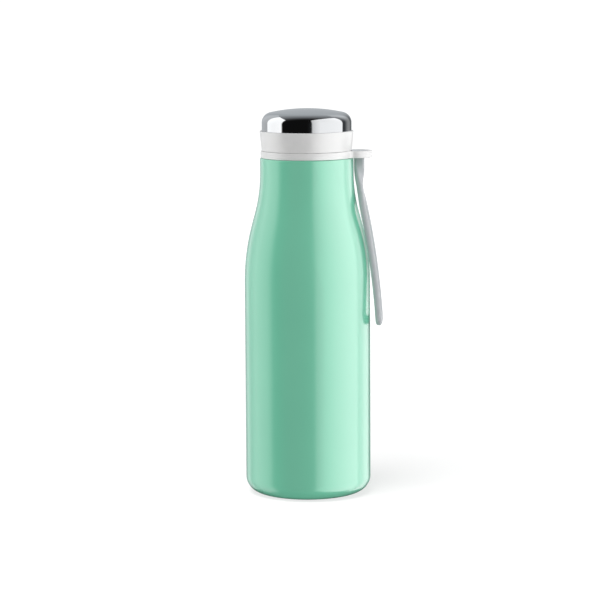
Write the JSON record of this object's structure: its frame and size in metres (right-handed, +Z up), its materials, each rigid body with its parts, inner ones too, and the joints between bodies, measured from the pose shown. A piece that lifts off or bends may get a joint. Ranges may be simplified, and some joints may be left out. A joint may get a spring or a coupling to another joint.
{
  "type": "insulated water bottle",
  "caption": "Double-walled steel water bottle with sloped shoulder, domed screw stopper cap, turning neck collar and hanging silicone carry loop.",
  "frame": {"origin": "centre of the face that the bottle stands on", "axes": "+Z up the bottle's axis towards the cap, +X towards the collar's lug and the carry strap"},
  "size_m": [0.0804, 0.0726, 0.2231],
  "materials": {
    "mint_lacquer": "gloss lacquer on steel",
    "brushed_steel": "satin, turned",
    "polished_steel": "mirror polished",
    "white_plastic": "fine satin moulded",
    "grey_silicone": "soft matte",
    "seal_silicone": "soft translucent matte",
    "foam": "foamed",
    "copper_foil": "thin bright foil",
    "getter_alloy": "pressed powder",
    "solder_glass": "fused bead",
    "adhesive": "cured"
  },
  "bodies": {
    "bottle": {"outer_shell": "mint_lacquer", "outer_base": "brushed_steel", "seal_bead": "solder_glass", "pad_adhesive": "adhesive", "base_pad": "grey_silicone", "inner_flask": "brushed_steel", "inner_base": "brushed_steel", "foil_wrap": "copper_foil", "getter_clip": "brushed_steel", "getter": "getter_alloy"},
    "collar": {"carry_collar": "white_plastic", "strap_tab": "grey_silicone"},
    "strap": {"strap_loop": "grey_silicone"},
    "cap_seal": {"seal_gasket": "seal_silicone"},
    "cap": {"cap_dome": "polished_steel", "cap_skirt": "white_plastic", "cap_body": "white_plastic", "cap_insulation": "foam", "dome_adhesive": "adhesive", "stopper_cup": "white_plastic", "stopper_foam": "foam"}
  },
  "joints": [
    {"name": "collar_turn", "type": "hinge", "parent": "bottle", "child": "collar", "pos_m": [0, 0, 0.197], "axis": [0, 0, 1], "continuous": true},
    {"name": "strap_swing", "type": "hinge", "parent": "collar", "child": "strap", "pos_m": [0.03198, -0.00013, 0.179], "axis": [-0.0698, -0.9976, 0], "range_deg": [0, 130]},
    {"name": "cap_rise", "type": "slide", "parent": "bottle", "child": "cap_seal", "axis": [0, 0, 1], "range_m": [0, 0.012]},
    {"name": "cap_turn", "type": "hinge", "parent": "cap_seal", "child": "cap", "pos_m": [0, 0, 0.205], "axis": [0, 0, 1], "range_deg": [0, 1080]}
  ],
  "couplings": [
    {"joint": "cap_rise", "follows": "cap_turn", "m_per_rad": 0.00063662}
  ]
}
